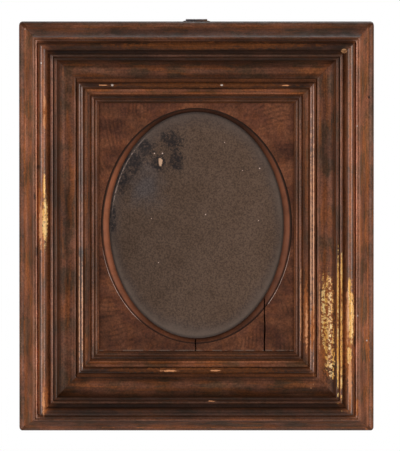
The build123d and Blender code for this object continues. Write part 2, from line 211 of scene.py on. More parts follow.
# Dust on the old plate, in the photograph's pixels: across, down and half width
DUST_SPECKS = (
    (154, 153, 0.8), (162, 153, 0.8), (205, 214, 0.8), (151, 218, 0.6), (224, 142, 0.6), (259, 168, 0.8),
    (242, 170, 0.6), (258, 220, 0.6), (158, 262, 0.6),
)

# Bare spot in the silvering (left, top, right, bottom), and how far its dark outline reaches past it
SILVER_LOSS = (157.4, 156.6, 162.6, 166)
SILVER_HALO = 2

# Losses in the coats: grain of the edge in cycles to the metre, how ragged and soft it is, how far it spreads
# and the most that is lost, then the patches in the photograph's pixels (left, top, right, bottom)
LOSSES = {
    "leaf": dict(grain=300, ragged=2, soft=0.35, boxes=(
        (42.8, 168, 45.6, 206), (41.8, 192, 47.8, 247), (336.4, 247, 338, 330), (336.2, 322, 338.2, 398),
        (339.8, 252, 342.2, 300), (339.6, 290, 342.2, 402), (346.6, 274, 350, 304),
        (346.4, 284, 353.4, 345), (345.4, 344, 351, 364))),
    "leaf spots": dict(grain=420, ragged=2.6, bias=-0.1, most=0.06, soft=0.12, boxes=(
        (320.6, 276, 325.2, 346), (324.6, 272, 332, 332), (322.2, 318, 333.6, 356),
        (324.6, 344, 334.2, 370), (328.2, 360, 333.8, 380))),
    # Worn copper lines, partly painted highlights where the lamps catch the beads and arrises
    "copper lines and glints": dict(grain=300, ragged=2.2, soft=0.5, boxes=(
        (309.4, 110, 311.2, 376), (311.8, 110, 313.8, 376), (299.4, 260, 301, 353),
        (317.8, 268, 319.8, 356), (78.2, 254, 79.7, 369), (81.2, 254, 82.7, 369), (41.8, 386, 44.6, 416),
        (43.2, 92, 45.6, 112), (43, 110, 45.4, 132), (35.4, 183, 37.9, 226), (38.6, 200, 43, 249),
        (304.2, 300, 307.4, 352), (345.4, 278, 348.6, 352), (346.6, 356, 351.4, 398),
        (354.6, 398, 356.6, 414), (158, 369.2, 181, 371.2), (209, 369, 220, 370.8), (98, 84.4, 107, 85.8),
        (280, 84.6, 290, 86), (206, 399.8, 215, 401.2))),
    "clay": dict(grain=300, ragged=1.4, soft=0.4, boxes=(
        (36.6, 178, 43.4, 251), (343, 266, 354.6, 406), (41.2, 384, 48.4, 416), (42.4, 92, 47.2, 132),
        (90, 366.6, 312, 373.4), (90, 82, 312, 88), (90, 42, 330, 50), (334, 248, 344.4, 406),
        (318.6, 264, 335.6, 384), (354.4, 396, 358, 416), (302, 276, 309, 356),
        (309.2, 300, 314.6, 356))),
    "strip": dict(grain=220, ragged=1.4, bias=0.15, boxes=(
        (363.4, 290, 368.6, 428), (364, 120, 367.6, 240), (24, 60, 31, 250), (24.6, 230, 30.6, 400),
        (60, 422.5, 330, 427))),
    "gesso chips": dict(grain=900, ragged=1, boxes=(
        (110.6, 84, 113.4, 86.2), (219.8, 84, 222.6, 86), (355.4, 125, 356.8, 127),
        (365.4, 339, 366.8, 341), (356.2, 314, 357.6, 316.2), (23.4, 28, 25.4, 30.4), (40.6, 62, 42, 64))),
    "nail plugs": dict(grain=500, ragged=0.6, boxes=((339.8, 48.8, 346.2, 53.4),)),
    "worm holes": dict(grain=500, ragged=1.2, soft=0.6, boxes=(
        (366.4, 95.2, 369.8, 98.8), (35.2, 163.6, 42.2, 169.4), (351.6, 333, 355.6, 348),
        (77.4, 245, 84.4, 259), (35.2, 243, 38.4, 258), (33, 192, 36.4, 200.4))),
    "corrosion clouds": dict(grain=90, ragged=1, bias=0.1, soft=0.9, boxes=(
        (108, 158, 138, 200), (116, 144, 150, 182), (128, 134, 164, 162), (152, 122, 192, 156),
        (160, 140, 188, 178), (142, 146, 176, 176), (107, 186, 118, 246))),
    "haze clouds": dict(grain=60, ragged=1.2, bias=0.1, soft=1, boxes=((120, 158, 172, 214),)),
    "silver loss": dict(grain=600, ragged=1.6, soft=0.4, boxes=(SILVER_LOSS,)),
    "loss outline": dict(grain=500, ragged=0.9, soft=0.5, boxes=(
        tuple(edge + grow for edge, grow in zip(
            SILVER_LOSS, (-SILVER_HALO, -SILVER_HALO, SILVER_HALO, SILVER_HALO))),)),
    "dust specks": dict(grain=900, ragged=0.8, soft=0.6, boxes=tuple(
        (across - half, down - half, across + half, down + half) for across, down, half in DUST_SPECKS)),
}

# Detail and roughness of the edge of a loss, and a reach in half widths that is outside any patch
EDGE_PATTERN = (4, 0.6)
FAR_AWAY = 9

# Cracks in the spandrel panel: photograph's pixel across, and the pixels where each begins and ends
CRACKS = ((195.6, 334, 364), (264.4, 294, 364))
CRACK_DEPTH = 5.2 * MM
CRACK_BENDS = 14
CRACK_RUN = 9 * MM

# Soft boxes: azimuth and elevation in degrees, distance, width and height in metres, and radiance
SOFT_BOXES = {
    "left soft box": (-52, 2, 2, 1.6, 1.4, 4.8),
    "right soft box": (52, 2, 2, 1.6, 1.4, 5),
    "back soft box": (160, 35, 2.2, 1.6, 1.2, 2.4),
}

# Light of the wall behind and of the room in front, on matt surfaces and in gloss
WALL_LIGHT = (0.5, 0.08)
ROOM_LIGHT = (0.05, 0.04)

# Pale floor, far enough below to cast nothing on the frame, and the white of the surround
FLOOR_DROP = 0.8
FLOOR_RADIUS = 0.6
FLOOR_SIDES = 96
WHITE = (1, 1, 1, 1)
PALE = (0.86, 0.86, 0.86, 1)


def linear(red, green, blue):
    """Linear colour of an sRGB triple from 0 to 255."""
    def one(value):
        share = value / 255
        return share / 12.92 if share <= 0.04045 else ((share + 0.055) / 1.055) ** 2.4
    return (one(red), one(green), one(blue), 1)


def photo_place(pixel_x, pixel_y, depth_y):
    """Point of the object that the photograph shows at a pixel, at a given depth."""
    across = (pixel_x - PHOTO_MIDDLE_X) * PIXEL
    up = (PHOTO_MIDDLE_Y - pixel_y) * PIXEL
    rise = (up - depth_y * math.sin(VIEW_ELEVATION)) / math.cos(VIEW_ELEVATION)
    return Vector((across, depth_y, MIDDLE_Z + rise))


def colour_setting(label, note, red, green, blue):
    """Colour property with an sRGB default."""
    return FloatVectorProperty(
        name=label, description=note, subtype="COLOR", size=4, min=0, max=1, default=linear(red, green, blue))


def size_setting(label, note, default):
    """Length property in metres."""
    return FloatProperty(name=label, description=note, subtype="DISTANCE", unit="LENGTH", default=default)


class OvalFrameFinish(bpy.types.PropertyGroup):
    """Colours of the frame's finishes."""
    toned: colour_setting("Toned gilding", "Brown varnish over the leaf", 110, 66, 45)
    umber: colour_setting("Umber", "Darker clouds in the varnish", 80, 54, 35)
    glaze: colour_setting("Warm glaze", "Orange-brown streaks in the varnish", 124, 68, 30)
    # Grime, also laid in the quirks and hollows as painted shade
    grime_and_shade: colour_setting("Grime", "Dirt in the hollows", 80, 42, 18)
    worn: colour_setting("Worn varnish", "Rubbed ridges and arrises", 132, 92, 74)
    bole: colour_setting("Bole", "Red clay under the leaf", 160, 92, 46)
    # Copper of the worn lines, also used for painted highlights on the beads
    copper: colour_setting("Copper", "Bright worn lines on the beads", 216, 150, 104)
    gold: colour_setting("Gold leaf", "Leaf where the toning is lost", 232, 168, 78)
    pale_gold: colour_setting("Bright leaf", "Leaf that is rubbed bright", 255, 224, 152)
    # Dark of the holes, also used for the painted shadow under the oval's step
    hole_and_step_shadow: colour_setting("Holes", "Dark of the worm holes and knocks", 40, 25, 17)
    chip: colour_setting("Chipped gesso", "Pale ground where the coat is chipped", 186, 168, 156)
    plug: colour_setting("Nail plug", "Filler over a nail head", 176, 128, 88)
    panel: colour_setting("Spandrel", "Varnish on the spandrel panel", 100, 59, 38)
    panel_dark: colour_setting("Spandrel clouds", "Darker clouds in the panel's varnish", 84, 47, 31)
    rim: colour_setting("Rim", "Redder varnish on the oval rim", 136, 78, 50)
    # Pale colour of the painted highlights on the oval's arris and the plate's edge, and of the dust specks
    pale_dust_and_highlight: colour_setting("Rim arris", "Edge of the oval worn to the pale ground", 214, 184, 170)
    bare_wood: colour_setting("Bare wood", "Aged softwood on the back", 166, 130, 92)
    dark_wood: colour_setting("Wood grain", "Late wood and dirt in the grain", 96, 66, 42)
    plate: colour_setting("Old plate", "Darkened silvering behind the glass", 78, 61, 50)
    corrosion: colour_setting("Corrosion", "Black loss in the silvering", 30, 28, 30)
    silver_loss: colour_setting("Silver loss", "Bare spot in the silvering", 190, 152, 124)
    dust: colour_setting("Dust", "Pale dust on the glass", 106, 90, 79)
    # Bluish haze, also used for the painted sheen towards the plate's rim
    haze: colour_setting("Haze", "Bluish haze in the silvering", 74, 67, 66)
    iron: colour_setting("Aged iron", "Dark oxide on the iron fittings", 110, 103, 106)
    rust: colour_setting("Rust", "Brown rust on the iron fittings", 112, 76, 54)


class OvalFrameSizes(bpy.types.PropertyGroup):
    """Sizes of the worn and hand-made detail."""
    arris: size_setting("Arris round", "Wear on the sharp edges of the mouldings", 0.8 * MM)
    waver: size_setting("Waver", "Depth of the slow waver of the hand-run mouldings", 0.35 * MM)
    waver_run: size_setting("Waver run", "Length of one slow waver", 34 * MM)
    pitting: size_setting("Pitting", "Depth of the fine unevenness of the gesso", 0.16 * MM)
    pitting_run: size_setting("Pitting run", "Width of one fine hollow", 5 * MM)
    crack: size_setting("Crack", "Width of the open cracks in the panel", 1.3 * MM)
    crack_waver: size_setting("Crack waver", "How far a crack strays from a straight line", 2 * MM)
    run_cuts: IntProperty(
        name="Cuts along a side", description="Divisions along each moulding", default=240, min=8)


def finish():
    return bpy.context.scene.oval_frame_finish


def sizes():
    return bpy.context.scene.oval_frame_sizes


# Modelling helpers

def select_only(piece):
    """Leaves one object selected and active."""
    bpy.ops.object.select_all(action="DESELECT")
    piece.select_set(True)
    bpy.context.view_layer.objects.active = piece


def edit(piece):
    """Opens a piece in edit mode with nothing selected."""
    select_only(piece)
    bpy.ops.object.mode_set(mode="EDIT")
    bpy.ops.mesh.select_all(action="DESELECT")


def leave_edit():
    bpy.ops.object.mode_set(mode="OBJECT")


def apply_modifier(piece, kind, **settings):
    """Adds a modifier to a piece and applies it."""
    select_only(piece)
    modifier = piece.modifiers.new(kind.lower(), kind)
    for name, value in settings.items():
        setattr(modifier, name, value)
    bpy.ops.object.modifier_apply(modifier=modifier.name)


def place_in_mesh(piece):
    """Moves a primitive's place, turn and scale into its mesh."""
    select_only(piece)
    bpy.ops.object.transform_apply(location=True, rotation=True, scale=True)


def cut_away(piece, cutter):
    """Cuts one closed mesh out of another and deletes it."""
    apply_modifier(piece, "BOOLEAN", object=cutter, operation="DIFFERENCE", solver="EXACT")
    bpy.data.objects.remove(cutter, do_unlink=True)


def settle(piece, body, material):
    """Smooths a finished piece, gives it its material and lets it ride on its body."""
    select_only(piece)
    bpy.ops.object.shade_smooth_by_angle(angle=SMOOTH_ANGLE)
    piece.data.materials.clear()
    piece.data.materials.append(material)
    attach(piece, body)


def block(name, low, high):
    """Box between two corners."""
    bpy.ops.object.select_all(action="DESELECT")
    bpy.ops.mesh.primitive_cube_add(size=1, location=(low + high) / 2)
    piece = bpy.context.active_object
    piece.name = name
    bpy.ops.transform.resize(value=high - low)
    place_in_mesh(piece)
    return piece


def merged_copy(node_name, piece_name):
    """Copy of a part's mesh, merged into clean flat faces."""
    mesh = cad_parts[node_name].data.copy()
    mesh.name = piece_name
    piece = bpy.data.objects.new(piece_name, mesh)
    bpy.context.scene.collection.objects.link(piece)
    select_only(piece)
    bpy.ops.mesh.customdata_custom_splitnormals_clear()
    edit(piece)
    bpy.ops.mesh.select_all(action="SELECT")
    bpy.ops.mesh.remove_doubles(threshold=MERGE_GAP)
    bpy.ops.mesh.dissolve_limited(angle_limit=MERGE_ANGLE)
    leave_edit()
    return piece


def edges_along(mesh, axis):
    """Edges of a mesh that run along one axis, with their lengths."""
    for edge in mesh.edges:
        start, end = (mesh.vertices[index].co for index in edge.vertices)
        run = end - start
        if abs(run[axis]) > STRAIGHT_SHARE * run.length:
            yield edge, run.length


def cut_along(piece, axis, cuts):
    """Divides the long edges of a piece, which run along one axis."""
    edit(piece)
    bpy.ops.mesh.select_mode(type="EDGE")
    leave_edit()
    for edge, length in edges_along(piece.data, axis):
        edge.select = length > LONG_SHARE * max(piece.dimensions)
    bpy.ops.object.mode_set(mode="EDIT")
    bpy.ops.mesh.subdivide(number_cuts=cuts)
    bpy.ops.mesh.select_mode(type="VERT")
    leave_edit()


def mark_arrises(piece, axis):
    """Marks how far each long arris is worn round: fully, or as far as the members beside it allow."""
    mesh = piece.data
    beside = {}
    for face in mesh.polygons:
        for key in face.edge_keys:
            beside.setdefault(key, []).append(face)
    weight = mesh.attributes.new("bevel_weight_edge", "FLOAT", "EDGE")
    for edge, length in edges_along(mesh, axis):
        faces = beside[edge.key]
        if len(faces) == 2 and faces[0].normal.angle(faces[1].normal) > ARRIS_ANGLE:
            width = min(face.area for face in faces) / length
            weight.data[edge.index].value = min(1, ARRIS_SHARE * width / sizes().arris)


def set_in(piece):
    """Sets the liner's inner members further in at the top and the bottom."""
    for start, shift in LINER_SHIFTS:
        reach = HALF_HEIGHT - RAIL_SETBACK - start
        for up in (1, -1):
            edit(piece)
            leave_edit()
            for vertex in piece.data.vertices:
                vertex.select = 0 < (vertex.co.z - MIDDLE_Z) * up < reach
            bpy.ops.object.mode_set(mode="EDIT")
            bpy.ops.transform.translate(value=(0, 0, -shift * up))
            leave_edit()


def cloud_texture(name, run):
    """Cloud texture of a given size for modelling."""
    texture = bpy.data.textures.get(name) or bpy.data.textures.new(name, "CLOUDS")
    texture.noise_scale = run
    texture.noise_depth = 2
    return texture


def waver(piece):
    """Presses a slow waver and fine pits into the front of a piece, never outwards."""
    for name, run, depth in (
            ("slow waver", sizes().waver_run, sizes().waver),
            ("fine pits", sizes().pitting_run, sizes().pitting)):
        apply_modifier(
            piece, "DISPLACE", texture=cloud_texture(name, run), texture_coords="LOCAL", direction="Y",
            mid_level=0, strength=depth)


# Shading helpers

class NodeWeb:
    """Adds and wires the nodes of one tree."""

    def __init__(self, tree):
        self.tree = tree

    def feed(self, socket, value):
        """Links a socket to an output, or sets it to a plain value."""
        if isinstance(value, bpy.types.NodeSocket):
            self.tree.links.new(value, socket)
        else:
            socket.default_value = value

    def add(self, kind, inputs=None, **settings):
        """New node with its settings and its named inputs."""
        node = self.tree.nodes.new("ShaderNode" + kind)
        for name, value in settings.items():
            setattr(node, name, value)
        for name, value in (inputs or {}).items():
            self.feed(node.inputs[name], value)
        return node

    def fill(self, node, values, output=0):
        """Feeds a node's inputs by number, since some share a name, and returns one of its outputs."""
        for index, value in values:
            self.feed(node.inputs[index], value)
        return node.outputs[output]

    def maths(self, operation, *values, clamp=False):
        return self.fill(self.add("Math", operation=operation, use_clamp=clamp), enumerate(values))

    def product(self, result, *others):
        for value in others:
            result = self.maths("MULTIPLY", result, value)
        return result

    def total(self, first, second):
        return self.maths("ADD", first, second)

    def less(self, first, second):
        return self.maths("SUBTRACT", first, second)

    def vectors(self, operation, *values):
        return self.fill(self.add("VectorMath", operation=operation), enumerate(values))

    def scaled(self, vector, scale):
        return self.vectors("MULTIPLY", vector, scale)

    def split(self, vector):
        return self.add("SeparateXYZ", {"Vector": vector}).outputs

    def joined(self, x, y, z=0):
        return self.add("CombineXYZ", {"X": x, "Y": y, "Z": z}).outputs[0]

    def mix(self, share, low, high):
        """Value between two others by a share."""
        return self.fill(self.add("Mix", data_type="FLOAT"), ((0, share), (2, low), (3, high)))

    def blend(self, share, low, high, mode="MIX"):
        """Colour between two others by a share."""
        node = self.add("Mix", data_type="RGBA", blend_type=mode)
        return self.fill(node, ((0, share), (6, low), (7, high)), 2)

    def layers(self, colour, *coats):
        """Colour with coats laid over it in turn, each with its share."""
        for share, coat in coats:
            colour = self.blend(share, colour, coat)
        return colour

    def shade(self, colour, value):
        """Colour made lighter or darker by a value about one."""
        grey = self.add("CombineColor", {"Red": value, "Green": value, "Blue": value}).outputs[0]
        return self.blend(1, colour, grey, "MULTIPLY")

    def span(self, value, low, high, start=0, end=1):
        """Smooth run from start to end while a value goes from low to high."""
        node = self.add("MapRange", {
            "Value": value, "From Min": low, "From Max": high, "To Min": start, "To Max": end},
            interpolation_type="SMOOTHSTEP")
        return node.outputs["Result"]

    def fall(self, value, low, high):
        """Smooth run from one to nothing."""
        return self.span(value, low, high, 1, 0)

    def place(self):
        return self.add("TexCoord").outputs["Object"]

    def noise(self, vector, scale, detail, rough, distortion=0):
        node = self.add("TexNoise", {
            "Vector": vector, "Scale": scale, "Detail": detail, "Roughness": rough, "Distortion": distortion})
        return node.outputs["Fac"]

    def grain(self, pattern):
        """One of the even patterns."""
        return self.noise(self.place(), *pattern)

    def drawn(self, flow, pattern):
        """One of the patterns that are drawn out along a member."""
        along, across, detail, rough = pattern
        return self.noise(self.scaled(flow, (along, across, across)), 1, detail, rough)

    def group(self, tree, inputs=None):
        return self.add("Group", inputs, node_tree=tree).outputs


def sockets(kind, *labels):
    """Sockets of one kind, as make_group takes them."""
    return [(label, "NodeSocket" + kind) for label in labels]


def make_group(name, inputs, outputs, wire):
    """Shader group that a function wires: it gets the web and the inputs, and returns the outputs."""
    tree = bpy.data.node_groups.get(name)
    if tree:
        return tree
    tree = bpy.data.node_groups.new(name, "ShaderNodeTree")
    for in_out, listed in (("INPUT", inputs), ("OUTPUT", outputs)):
        for label, kind in listed:
            tree.interface.new_socket(name=label, in_out=in_out, socket_type=kind)
    start = tree.nodes.new("NodeGroupInput")
    end = tree.nodes.new("NodeGroupOutput")
    web = NodeWeb(tree)
    for label, value in wire(web, start.outputs).items():
        web.feed(end.inputs[label], value)
    return tree


def member_curve(web, inset, trait, most=1):
    """One trait of the members at an inset, running evenly from one member to the next."""
    places = []
    for member in MEMBERS.values():
        middle, half = member[:2]
        flat = half * MEMBER_FLAT_SHARE
        places += [(middle - flat, member[trait]), (middle + flat, member[trait])]
    low = places[0][0]
    reach = places[-1][0] - low
    share = web.maths("DIVIDE", web.less(inset, low * MM), reach * MM)
    node = web.add("FloatCurve", {"Value": share})
    curve = node.mapping.curves[0]
    curve.points[0].location = (0, places[0][1] / most)
    curve.points[1].location = (1, places[-1][1] / most)
    for across, value in places[1:-1]:
        point = curve.points.new((across - low) / reach, value / most)
        point.handle_type = "VECTOR"
    node.mapping.update()
    return node.outputs[0]


def frame_place_group():
    """Where a point lies on the frame: in from the moulding's edge, along its side, out from the back, and
    its painted light.
    """
    def wire(web, given):
        parts = web.split(web.place())
        height = web.less(parts["Z"], MIDDLE_Z)
        side = web.less(HALF_WIDTH - STILE_SETBACK, web.maths("ABSOLUTE", parts["X"]))
        end = web.less(HALF_HEIGHT - RAIL_SETBACK, web.maths("ABSOLUTE", height))
        shifted = 0
        for start, shift in LINER_SHIFTS:
            start += shifted
            end = web.less(end, web.span(end, start, start + shift, 0, shift))
            shifted += shift
        inset = web.maths("MINIMUM", side, end)
        stile = web.maths("LESS_THAN", side, end)
        rail = web.less(1, stile)
        along = web.total(web.product(height, stile), web.product(parts["X"], rail))
        which = web.total(
            web.product(web.maths("SIGN", parts["X"]), stile),
            web.product(web.maths("SIGN", height), rail, RAIL_PATTERN_SHIFT))
        rise = web.less(BACK_Y, parts["Y"])
        # Painted light and shade by member: the lighter stiles fade into the darker rails about the mitres
        lean = web.span(web.less(end, side), -MITRE_FADE, MITRE_FADE)
        painted_light = web.total(
            web.product(member_curve(web, inset, STILE_PAINTED_LIGHT, MOST_PAINTED_LIGHT), lean),
            web.product(member_curve(web, inset, RAIL_PAINTED_LIGHT, MOST_PAINTED_LIGHT), web.less(1, lean)))
        return {
            "Rise": rise, "Flow": web.joined(along, inset, web.total(rise, which)),
            "Mitre": web.maths("ABSOLUTE", web.less(side, end)),
            "Ridge": member_curve(web, inset, WEAR), "Dirt and shade": member_curve(web, inset, DIRT_AND_SHADE),
            "Polish": member_curve(web, inset, POLISH), "Painted light": web.product(painted_light, MOST_PAINTED_LIGHT)}
    outputs = sockets("Vector", "Flow")
    outputs += sockets("Float", "Rise", "Mitre", "Ridge", "Dirt and shade", "Polish", "Painted light")
    return make_group("frame place", [], outputs, wire)


def oval_place_group():
    """Where a point lies on an oval about the sight's middle: radius, one at the edge, shares and depth."""
    def wire(web, given):
        parts = web.split(web.place())
        half = web.split(given["Half"])
        across = web.maths("DIVIDE", parts["X"], half["X"])
        up = web.maths("DIVIDE", web.less(parts["Z"], OVAL_Z), half["Z"])
        square = web.total(web.product(across, across), web.product(up, up))
        return {"Radius": web.maths("SQRT", square), "Across": across, "Up": up, "Depth": parts["Y"]}
    outputs = sockets("Float", "Radius", "Across", "Up", "Depth")
    return make_group("oval place", sockets("Vector", "Half"), outputs, wire)


def losses_group(name, boxes, grain, ragged, bias=0, most=1, soft=0.2):
    """Mask of patches where a coat is lost: ragged or soft at the edge, and spotted if most is low."""
    def wire(web, given):
        parts = web.split(web.place())
        height = web.product(web.less(parts["Z"], MIDDLE_Z), -math.cos(VIEW_ELEVATION) / PIXEL)
        lean = web.product(parts["Y"], -math.sin(VIEW_ELEVATION) / PIXEL)
        pixel = web.joined(web.product(parts["X"], 1 / PIXEL), web.total(height, lean))
        nearest = FAR_AWAY
        for left, top, right, bottom in boxes:
            half_x, half_y = (right - left) / 2, (bottom - top) / 2
            middle_x = (left + right + 1) / 2 - PHOTO_MIDDLE_X
            middle_y = (top + bottom + 1) / 2 - PHOTO_MIDDLE_Y
            away = web.vectors(
                "MULTIPLY_ADD", pixel, (1 / half_x, 1 / half_y, 0),
                (-middle_x / half_x, -middle_y / half_y, 0))
            reach = web.add("VectorMath", {"Vector": away}, operation="LENGTH").outputs["Value"]
            nearest = web.maths("MINIMUM", reach, nearest)
        edge = web.maths("MINIMUM", web.less(1 + bias, nearest), most)
        rough = web.less(web.grain((grain, *EDGE_PATTERN)), 0.5)
        return {"Mask": web.span(web.total(edge, web.product(rough, ragged)), 0, soft)}
    return make_group(name, [], sockets("Float", "Mask"), wire)


def losses(web, name):
    """Mask of one kind of loss."""
    return web.group(losses_group(name, **LOSSES[name]))["Mask"]


def old_finish_group():
    """Toned varnish: clouds, glaze, brush streaks, rubbed ridges, dirt and painted shade in the hollows,
    painted light and shade by member, losses to bole and leaf.
    """
    def wire(web, given):
        flow = given["Flow"]
        streaks = web.drawn(flow, STREAKS)
        scuffs = web.drawn(flow, SCUFFS)
        drips = web.drawn(flow, DRIPS)
        specks = web.grain(SPECKS)
        # Dirt with painted shade in the quirks and hollows of the section
        dirt = web.product(given["Dirt and shade"], web.span(scuffs, 0.15, 0.6, 0.55, 1))
        coat = web.layers(
            given["toned"],
            (web.span(web.grain(CLOUDS), 0.42, 0.6), given["umber"]),
            (web.product(web.span(drips, 0.49, 0.62, 0, 0.6), given["Drips"]), given["glaze"]),
            (web.product(web.span(drips, 0.36, 0.46, 0.2, 0), given["Drips"]), given["worn"]),
            (dirt, given["grime_and_shade"]),
            (web.product(given["Ridge"], web.span(scuffs, 0.36, 0.66, 0.3, 1)), given["worn"]))
        lined = web.total(web.product(web.less(streaks, 0.5), given["Streaks"]), 1)
        fine = web.product(lined, web.span(specks, 0.25, 0.75, 0.7, 1.3))
        slow = web.span(web.drawn(flow, SLOW_SHADE), 0.32, 0.68, 0.7, 1.26)
        clay = web.product(given["Bole loss"], web.span(scuffs, 0.3, 0.52, 0.3, 1))
        leaf = web.layers(
            given["gold"],
            (web.span(scuffs, 0.44, 0.66), given["pale_gold"]),
            (web.span(specks, 0.56, 0.68, 0, 0.8), given["glaze"]))
        # Each member made lighter or darker by its painted light and shade
        coat = web.layers(
            web.shade(coat, web.product(fine, slow, given["Painted light"])),
            (clay, web.shade(given["bole"], web.product(fine, web.maths("MINIMUM", given["Painted light"], 1)))),
            (given["Leaf loss"], leaf))
        shine = web.product(given["Polish"], web.less(1, web.maths("MAXIMUM", dirt, clay)))
        dry = web.span(web.grain(DRYNESS), 0.3, 0.7, 0.5, 0.66)
        return {
            "Colour": coat,
            "Roughness": web.total(web.less(dry, web.product(shine, 0.1)), web.product(dirt, 0.15)),
            "Metallic": web.total(web.product(shine, 0.15), web.product(given["Leaf loss"], 0.1)),
            "Coat": web.maths("MAXIMUM", shine, web.product(given["Leaf loss"], 0.8)),
            "Height": web.total(web.product(streaks, 0.5), web.product(specks, 0.5))}
    inputs = sockets("Vector", "Flow") + sockets("Color", *COATS) + sockets(
        "Float", "Ridge", "Dirt and shade", "Polish", "Painted light", "Drips", "Streaks", "Bole loss", "Leaf loss")
    outputs = sockets("Color", "Colour") + sockets("Float", "Roughness", "Metallic", "Coat", "Height")
    return make_group("old finish", inputs, outputs, wire)


def old_wood_group():
    """Aged softwood: grain along one axis, dirt and a dry surface."""
    def wire(web, given):
        grain_place = web.scaled(web.place(), given["Stretch"])
        rings = web.maths("FRACT", web.product(web.noise(grain_place, *WOOD_RINGS), RINGS_IN_A_BAND))
        rings = web.maths("ABSOLUTE", web.less(web.product(rings, 2), 1))
        fibres = web.noise(grain_place, *WOOD_FIBRES)
        colour = web.layers(
            given["Light"],
            (web.span(rings, 0.45, 1, 0, 0.7), given["Dark"]),
            (web.span(fibres, 0.5, 0.75, 0, 0.6), given["Dark"]),
            (web.span(web.grain(STAINS), 0.35, 0.7, 0, 0.5), given["Dark"]))
        return {
            "Colour": colour, "Roughness": web.span(fibres, 0.2, 0.8, 0.7, 0.92),
            "Height": web.total(web.product(rings, 0.5), fibres)}
    inputs = sockets("Vector", "Stretch") + sockets("Color", "Light", "Dark")
    outputs = sockets("Color", "Colour") + sockets("Float", "Roughness", "Height")
    return make_group("old wood", inputs, outputs, wire)


def iron_group():
    """Oxidised iron with brown rust in patches and pits."""
    def wire(web, given):
        patches = web.span(web.grain(RUST_PATCHES), 0.48, 0.68)
        pits = web.span(web.grain(RUST_PITS), 0.5, 0.68)
        rusty = web.layers(given["Iron"], (patches, given["Rust"]), (web.product(pits, 0.5), given["Rust"]))
        return {
            "Colour": rusty, "Roughness": web.span(patches, 0, 1, 0.38, 0.72),
            "Metallic": web.span(patches, 0, 1, 0.6, 0.15), "Height": web.total(pits, patches)}
    outputs = sockets("Color", "Colour") + sockets("Float", "Roughness", "Metallic", "Height")
    return make_group("aged iron", sockets("Color", "Iron", "Rust"), outputs, wire)


# Materials

def new_material(name, specular=0.5):
    """Empty material with its Principled shader: the web and the shader."""
    material = bpy.data.materials.get(name) or bpy.data.materials.new(name)
    material.use_nodes = True
    material.node_tree.nodes.clear()
    web = NodeWeb(material.node_tree)
    shader = web.add("BsdfPrincipled")
    shader.inputs["Specular IOR Level"].default_value = specular
    web.feed(web.add("OutputMaterial").inputs["Surface"], shader.outputs[0])
    return material, web, shader


def wire_surface(web, shader, colour, made, depth, strength=0.6, metal=True):
    """Feeds a colour and a group's other outputs to the shader, with its height as a bump."""
    web.feed(shader.inputs["Base Color"], colour)
    web.feed(shader.inputs["Roughness"], made["Roughness"])
    if metal and "Metallic" in made:
        web.feed(shader.inputs["Metallic"], made["Metallic"])
    if metal and "Coat" in made:
        web.feed(shader.inputs["Coat Weight"], made["Coat"])
        shader.inputs["Coat Roughness"].default_value = 0.3
    bump = web.add("Bump", {"Height": made["Height"], "Strength": strength, "Distance": depth})
    web.feed(shader.inputs["Normal"], bump.outputs[0])


def finish_colours():
    """Colours of the old finish, as its group takes them."""
    return {name: getattr(finish(), name) for name in COATS}


def section_marks(place):
    """What the old finish takes from a point's place on the section."""
    marks = {label: place[label] for label in ("Flow", "Ridge", "Dirt and shade", "Polish", "Painted light")}
    return {"Drips": 1, "Streaks": 1.3, **marks}


def moulding_material(name):
    """Old toned gilding with its losses, chips and plugs, and worn copper lines that are partly painted
    highlights.
    """
    colours = finish()
    material, web, shader = new_material(name, 0.15)
    place = web.group(frame_place_group())
    made = web.group(old_finish_group(), {
        **section_marks(place), **finish_colours(), "Bole loss": losses(web, "clay"),
        "Leaf loss": web.maths("MAXIMUM", losses(web, "leaf"), losses(web, "leaf spots"))})
    colour = web.layers(
        made["Colour"],
        # Worn copper lines and painted highlights on the beads
        (web.product(losses(web, "copper lines and glints"), 0.8), colours.copper),
        (losses(web, "gesso chips"), colours.chip),
        (losses(web, "nail plugs"), colours.plug),
        (web.product(losses(web, "worm holes"), 0.7), colours.hole_and_step_shadow),
        (web.span(place["Mitre"], *MITRE_SEAM, 0.5, 0), colours.grime_and_shade))
    wire_surface(web, shader, colour, made, VARNISH_BUMP)
    return material


def base_material(name, stretch):
    """Base member: toned on its front and edge, bare wood on its back."""
    colours = finish()
    material, web, shader = new_material(name, 0.2)
    place = web.group(frame_place_group())
    made = web.group(old_finish_group(), {
        **section_marks(place), **finish_colours(), "Bole loss": losses(web, "strip")})
    wood = web.group(old_wood_group(), {
        "Stretch": stretch, "Light": colours.bare_wood, "Dark": colours.dark_wood})
    torn = web.total(place["Rise"], web.product(web.grain(TORN_EDGE), TORN_REACH))
    front = web.span(torn, *TONED_RISE)
    toned = web.layers(
        made["Colour"],
        (losses(web, "worm holes"), colours.hole_and_step_shadow),
        (web.span(place["Mitre"], *BASE_SEAM, 0.8, 0), colours.grime_and_shade))
    wire_surface(web, shader, web.blend(front, wood["Colour"], toned), made, VARNISH_BUMP)
    for socket, bare, coated in (
            ("Roughness", wood["Roughness"], made["Roughness"]), ("Metallic", 0, made["Metallic"]),
            ("Coat Weight", 0, made["Coat"])):
        web.feed(shader.inputs[socket], web.mix(front, bare, coated))
    return material


def wood_material(name, stretch, light, dark):
    """Bare aged wood."""
    material, web, shader = new_material(name, 0.25)
    made = web.group(old_wood_group(), {"Stretch": stretch, "Light": light, "Dark": dark})
    wire_surface(web, shader, made["Colour"], made, WOOD_BUMP)
    return material


def iron_material(name):
    """Aged iron of the fittings."""
    material, web, shader = new_material(name)
    made = web.group(iron_group(), {"Iron": finish().iron, "Rust": finish().rust})
    wire_surface(web, shader, made["Colour"], made, IRON_BUMP)
    return material


